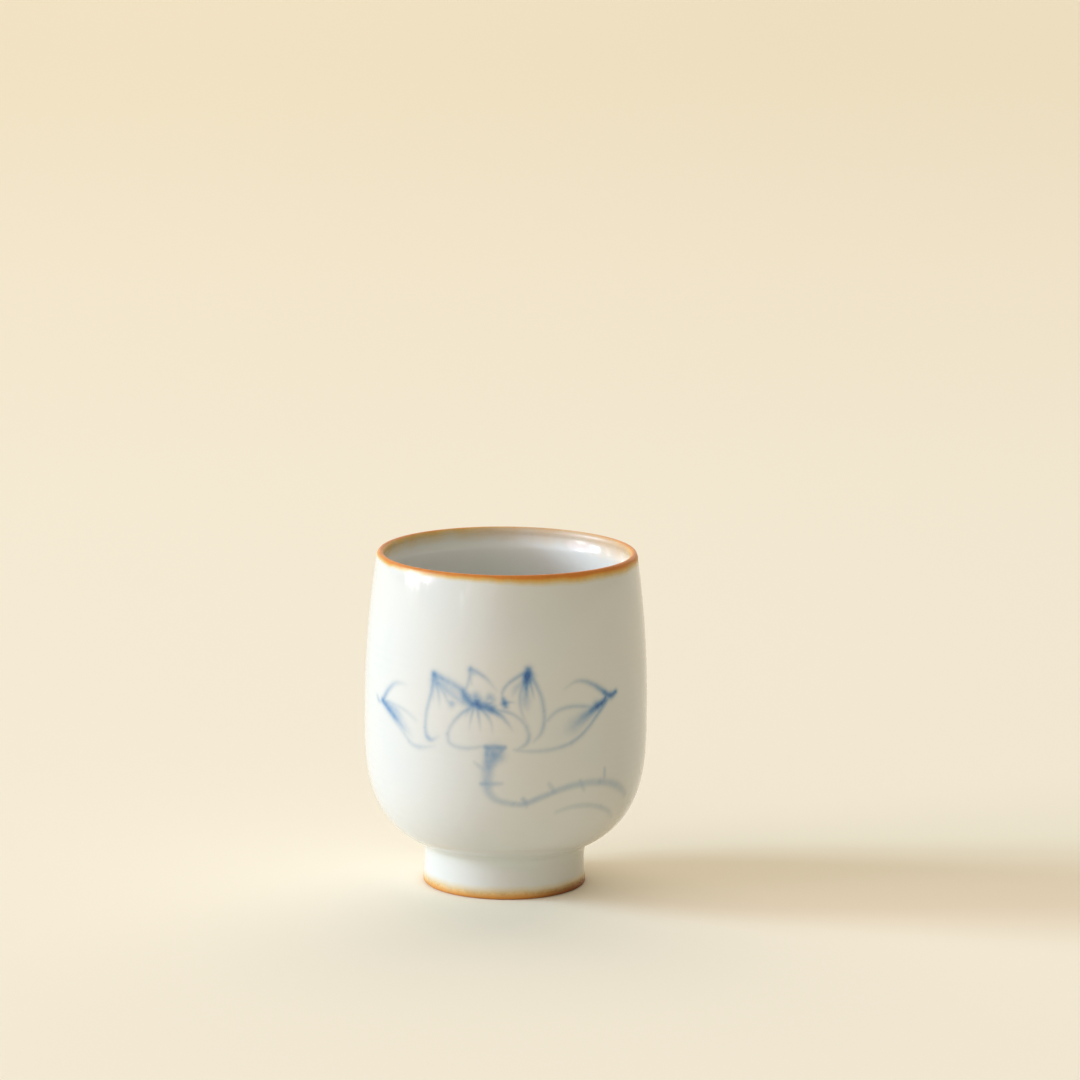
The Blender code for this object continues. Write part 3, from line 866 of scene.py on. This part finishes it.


# One finish for the whole cup, so that it runs on without a break from piece to piece.
# Colour = glaze, times the cobalt, times the iron's ramps at lip (near or far) and foot, times a painted
# shade on the right of the foot, times small dark specks. Roughness = the glaze's, more on the lip, in the
# iron and on the bare foot.
# Relief = slow waves with fine grain and pinholes.
def cupFinish(name, painted=False):
    s = Surface(name)
    xMm, yMm, heightMm = s.placeMm()
    belowMm = cupForm["height"] * 1000.0 - heightMm
    noises = {kind: s.noise(*numbers) for kind, numbers in grains.items()}
    insideShare = s.mark("inside")

    color = glazeColor(s, noises, xMm, heightMm, belowMm, insideShare)
    if painted:
        color = s.tinted(color, cobaltTint(s, noises))

    lipShare, footShare = ironShares(s, noises, xMm, yMm, heightMm, belowMm, insideShare)
    far = s.step(yMm, *ironLook["farBehind"]) * s.step(xMm, *ironLook["farAcross"])
    lipTint = s.mix(far, s.ramp(ironLook["lip"], lipShare), s.ramp(ironLook["farLip"], lipShare))
    color = s.tinted(color, lipTint)
    color = s.tinted(color, s.ramp(ironLook["foot"], footShare))
    # Painted shade: the foot's iron is darker on its shaded right side, where it also fired darker.
    shadeAndDarkFiring = s.step(xMm, *ironLook["darkAcross"]) * s.step(footShare, 0.25, 0.75, 1.0, 0.0)
    color = s.tinted(color, ironLook["shadeAndDarkFiring"], shadeAndDarkFiring)

    iron = s.step(lipShare, 0.45, 0.95, 1.0, 0.0) + s.step(footShare, 0.4, 0.9, 1.0, 0.0)
    tone = s.step(noises["fine"], 0.25, 0.75, 0.97, 1.0) * (1 - 0.05 * s.step(noises["drips"], 0.4, 0.8))
    color = s.tinted(color, ironLook["specks"], iron * (1 - tone) * 3.0)
    clusters = s.step(noises["clusters"], 0.52, 0.62)
    specks = s.step(s.cells(ironLook["specksPerMetre"]), 0.10, 0.24, 1.0, 0.0) * clusters
    nearIron = s.step(lipShare, 0.30, 0.42) * s.step(lipShare, 0.55, 0.70, 1.0, 0.0) * (1 - insideShare)
    color = s.tinted(color, ironLook["specks"], specks * nearIron * 0.75)

    bare = s.step(heightMm, *ironLook["bareFoot"])
    roughness = glazeLook["roughness"] + s.step(noises["fine"], 0.3, 0.8, 0.0, 0.05)
    roughness = roughness + iron * (ironLook["roughness"] - glazeLook["roughness"])
    roughness = roughness + s.step(belowMm, *glazeLook["roughLip"]) + bare * ironLook["bareRoughness"]

    relief = noises["broad"] * 0.5 + noises["patch"] * 0.22 + noises["fine"] * 0.010
    relief = relief + s.step(s.cells(glazeLook["pinholes"]), 0.03, 0.10) * 0.012
    relief = relief + noises["grain"] * (0.004 + 0.03 * bare) + noises["drips"] * 0.04 * iron
    bump = {"Strength": 1.0, "Distance": glazeLook["reliefDepth"], "Height": relief}
    normal = s.node("ShaderNodeBump", {}, bump)

    s.set(Base_Color=color, Roughness=roughness, Normal=normal)
    s.set(IOR=1.5, Metallic=0.0)
    return s.material


# The cup's skin: its line, carried round the turns, with its normals, its ink and its inside share.
paintedTurns = np.linspace(
    meshSteps["paintedFrom"], meshSteps["paintedTo"], meshSteps["paintedColumns"], endpoint=False
)
plainTurns = np.linspace(
    meshSteps["paintedTo"], meshSteps["paintedFrom"] + 360, meshSteps["plainColumns"], endpoint=False
)
turns = np.concatenate([paintedTurns, plainTurns])
profile, rowsOf = joinStretches(skinStretches())
rowsPastCrest = np.arange(len(profile), dtype=float) - profile[:, 1].argmax()
glazeInside = smooth(rowsPastCrest, *meshSteps["glazeInside"])
formInside = smooth(rowsPastCrest, *meshSteps["formInside"])
skinPoints = turnedPoints(profile, turns, formInside)
skinNormals = gridNormals(skinPoints, profile, turns, formInside)
insideGrid = np.repeat(glazeInside[:, None], len(turns), axis=1)
print("skin:", skinPoints.shape[0], "rows by", skinPoints.shape[1], "columns")

inkGrid = np.zeros(skinPoints.shape[:2])
paintedRows = slice(rowsOf["painted"][0], rowsOf["painted"][1] + 1)
inkGrid[paintedRows, : len(paintedTurns)] = cobaltInk(*np.meshgrid(paintedTurns, profile[paintedRows, 1]))
print("lotus painted")


# Rows hidden between two pieces, along the bowl's underside: height = the outside skin at each radius.
def hiddenRows(*radii):
    line = np.array([(r, float(outside.hipHeight(r))) for r in radii])
    points = turnedPoints(line, turns, np.zeros(len(line)))
    normals = np.zeros_like(points)
    normals[..., 2] = 1.0
    return points, normals, np.zeros(points.shape[:2]), np.zeros(points.shape[:2])


# The skin's rows from one stretch to another.
def skin(first, last):
    rows = slice(rowsOf[first][0], rowsOf[last][1] + 1)
    return tuple(grid[rows] for grid in (skinPoints, skinNormals, inkGrid, insideGrid))


# A piece from groups of rows, one after the other.
def assemble(name, groups):
    points, normals, ink, within = (np.concatenate(part) for part in zip(*groups))
    return closedPiece(name, points, normals, {"cobalt": ink, "inside": within})


footTopOuter = footForm["waistRadius"]
footTopInner = footForm["waistRadius"] - footForm["wallTop"]

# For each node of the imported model: the piece that takes its place, its slot, its finish and its rows.
pieces = {
    "bowl": ("glazedBowl", "white_glaze", "whiteGlazeWithCobalt", [
        skin("underside", "underside"),
        hiddenRows(footTopInner, (footTopInner + footTopOuter) / 2, footTopOuter),
        skin("hip", "shoulder"),
        skin("insideWall", "insideFloor"),
    ]),
    "rim_band": ("ironLip", "iron_glaze", "ironBrownLip", [skin("lip", "lip")]),
    "outer_slip_fillet": ("outerCove", "glazed_slip", "pooledGlazeOutside", [
        skin("outerCove", "outerCove"),
        hiddenRows(footTopOuter),
    ]),
    "inner_slip_fillet": ("innerCove", "glazed_slip", "pooledGlazeInside", [
        skin("innerCove", "innerCove"),
        hiddenRows(footTopInner),
    ]),
    "foot_ring": ("footWall", "white_glaze", "whiteGlazeOnFoot", [
        skin("footInside", "footInside"),
        skin("footOutside", "footOutside"),
        hiddenRows(footTopOuter, footTopInner),
    ]),
    "foot_band": ("footEdge", "iron_clay", "ironBrownFoot", [skin("footEdge", "footEdge")]),
}
for node, (name, slot, finish, groups) in pieces.items():
    piece = assemble(name, groups)
    piece.data.materials.append(cupFinish(finish, painted=node == "bowl"))
    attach(piece, "root")
    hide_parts(node)
    print(name, "for", node, len(piece.data.vertices), "points")

floorLook = {
    "size": 8.0,
    "corners": 120,
    "near": (0.920, 0.875, 0.755),
    "far": (0.877, 0.793, 0.612),
    "shadeDeepens": (-0.1, 2.2),  # painted light falloff, darker and yellower from front to back
    "shade": 0.955,  # painted shade: how much the tone drops from left to right, away from the window light
    "shadeAcross": (-0.3, 0.35),
    "roughness": 0.9,
}


# Cream paper: its tone goes from near to far by a smooth step of Y, a painted falloff of light, times a
# painted shade by a smooth step of X.
def creamPaper():
    s = Surface("creamPaper")
    across, back = (s.node("ShaderNodeSeparateXYZ", {}, [s.place], axis) for axis in "XY")
    tone = s.mix(s.step(back, *floorLook["shadeDeepens"]), floorLook["near"], floorLook["far"])
    tone = s.tinted(tone, (floorLook["shade"],) * 3, s.step(across, *floorLook["shadeAcross"]))
    s.set(Base_Color=tone, Roughness=floorLook["roughness"], Specular_IOR_Level=0.1)
    return s.material


# A round floor: wedges from the middle to points on a circle, (cos a, sin a) * size / 2.
paper = bpy.data.meshes.new("paperFloor")
rim = np.arange(floorLook["corners"]) * 2 * math.pi / floorLook["corners"]
ring = np.column_stack([np.cos(rim), np.sin(rim), 0 * rim]) * floorLook["size"] / 2
wedges = [(0, i + 1, (i + 1) % len(rim) + 1) for i in range(len(rim))]
paper.from_pydata([(0, 0, 0), *ring.tolist()], [], wedges)
paper.materials.append(creamPaper())
floor = bpy.data.objects.new("paperFloor", paper)
bpy.context.scene.collection.objects.link(floor)
print("floor laid")

# Each light: turn, elevation, the angle that it fills in the sky, strength, colour.
# The window and the walls light the cup, and the small panes only leave the highlights on its glaze.
lightPlan = {
    "windowLight": (-93.0, 19.0, 18.0, 2.40, (0.587, 0.830, 1.000)),
    "windowSide": (-75.0, 19.0, 30.0, 0.71, (1.000, 0.737, 0.950)),
    "backWall": (180.0, 35.0, 80.0, 1.48, (1.000, 0.816, 0.653)),
    "frontLeftWall": (-45.0, 25.0, 80.0, 0.67, (1.000, 1.000, 0.935)),
    "lowPaneLeft": (-95.5, 2.7, 6.0, 0.038, (1.0, 1.0, 1.0)),
    "lowPaneMiddle": (-89.5, 2.7, 6.5, 0.056, (1.0, 1.0, 1.0)),
    "lowPaneRight": (-83.0, 2.7, 6.0, 0.038, (1.0, 1.0, 1.0)),
    "highPane": (-73.0, 9.5, 8.0, 0.170, (1.0, 1.0, 1.0)),
    "smallGlint": (-38.0, 3.0, 4.0, 0.010, (1.0, 1.0, 1.0)),
    "farGlint": (-109.0, 6.5, 5.0, 0.030, (1.0, 1.0, 1.0)),
    "backGlint": (-32.0, 6.5, 4.5, 0.008, (1.0, 1.0, 1.0)),
}
lightDistance = 1.3


# The place at a turn and an elevation: distance * (sin t cos e, -cos t cos e, sin e).
def around(turn, elevation, distance):
    t = math.radians(turn)
    e = math.radians(elevation)
    return Vector((math.sin(t) * math.cos(e), -math.cos(t) * math.cos(e), math.sin(e))) * distance


# A far, even light that fills the given angle of the sky.
def farLight(name, turn, elevation, width, strength, color):
    light = bpy.data.lights.new(name, "SUN")
    light.angle = math.radians(width)
    light.energy = strength
    light.color = color
    lamp = bpy.data.objects.new(name, light)
    bpy.context.scene.collection.objects.link(lamp)
    lamp.location = around(turn, elevation, lightDistance)
    lamp.rotation_euler = (-lamp.location).to_track_quat("-Z", "Y").to_euler()


for name, plan in lightPlan.items():
    farLight(name, *plan)

roomLook = {"light": (0.40, 0.36, 0.28), "seen": (0.86, 0.76, 0.55)}

# The room: a dim even light for the cup, and plain cream where the view runs past the floor.
world = bpy.data.worlds.new("creamRoom")
world.use_nodes = True
bpy.context.scene.world = world
roomNodes = world.node_tree.nodes
roomLinks = world.node_tree.links
roomLight = roomNodes["Background"]
roomLight.inputs["Color"].default_value = (*roomLook["light"], 1.0)
roomSeen = roomNodes.new("ShaderNodeBackground")
roomSeen.inputs["Color"].default_value = (*roomLook["seen"], 1.0)
ray = roomNodes.new("ShaderNodeLightPath")
choose = roomNodes.new("ShaderNodeMixShader")
roomLinks.new(ray.outputs["Is Camera Ray"], choose.inputs[0])
roomLinks.new(roomLight.outputs[0], choose.inputs[1])
roomLinks.new(roomSeen.outputs[0], choose.inputs[2])
roomLinks.new(choose.outputs[0], roomNodes["World Output"].inputs["Surface"])
bpy.context.scene.view_settings.view_transform = "Standard"

cameraPlan = {
    "distance": 1.180,
    "elevation": 12.87,
    "roll": 0.5,
    "aimAbove": 2.027,  # degrees that it looks over the cup's middle
    "aimRight": 0.3955,  # and to its right
    "lens": 165.6,
}

# The camera looks at the cup's middle, is rolled, and is then swung off it by the two aim angles.
camera = bpy.data.cameras.new("camera")
camera.lens = cameraPlan["lens"]
camera.sensor_width = 36.0
camera.clip_start = 0.05
camera.clip_end = 30.0
view = bpy.data.objects.new("camera", camera)
bpy.context.scene.collection.objects.link(view)
middle = Vector((0, 0, cupForm["height"] / 2))
place = middle + around(0.0, cameraPlan["elevation"], cameraPlan["distance"])
aim = (middle - place).to_track_quat("-Z", "Y")
roll = Quaternion((0, 0, 1), math.radians(cameraPlan["roll"]))
right, above = (math.tan(math.radians(cameraPlan[key])) for key in ("aimRight", "aimAbove"))
swing = Vector((0, 0, -1)).rotation_difference(Vector((-right, -above, -1.0)))
view.matrix_world = Matrix.Translation(place) @ (aim @ roll @ swing.inverted()).to_matrix().to_4x4()
bpy.context.scene.camera = view
print("camera and lights placed")
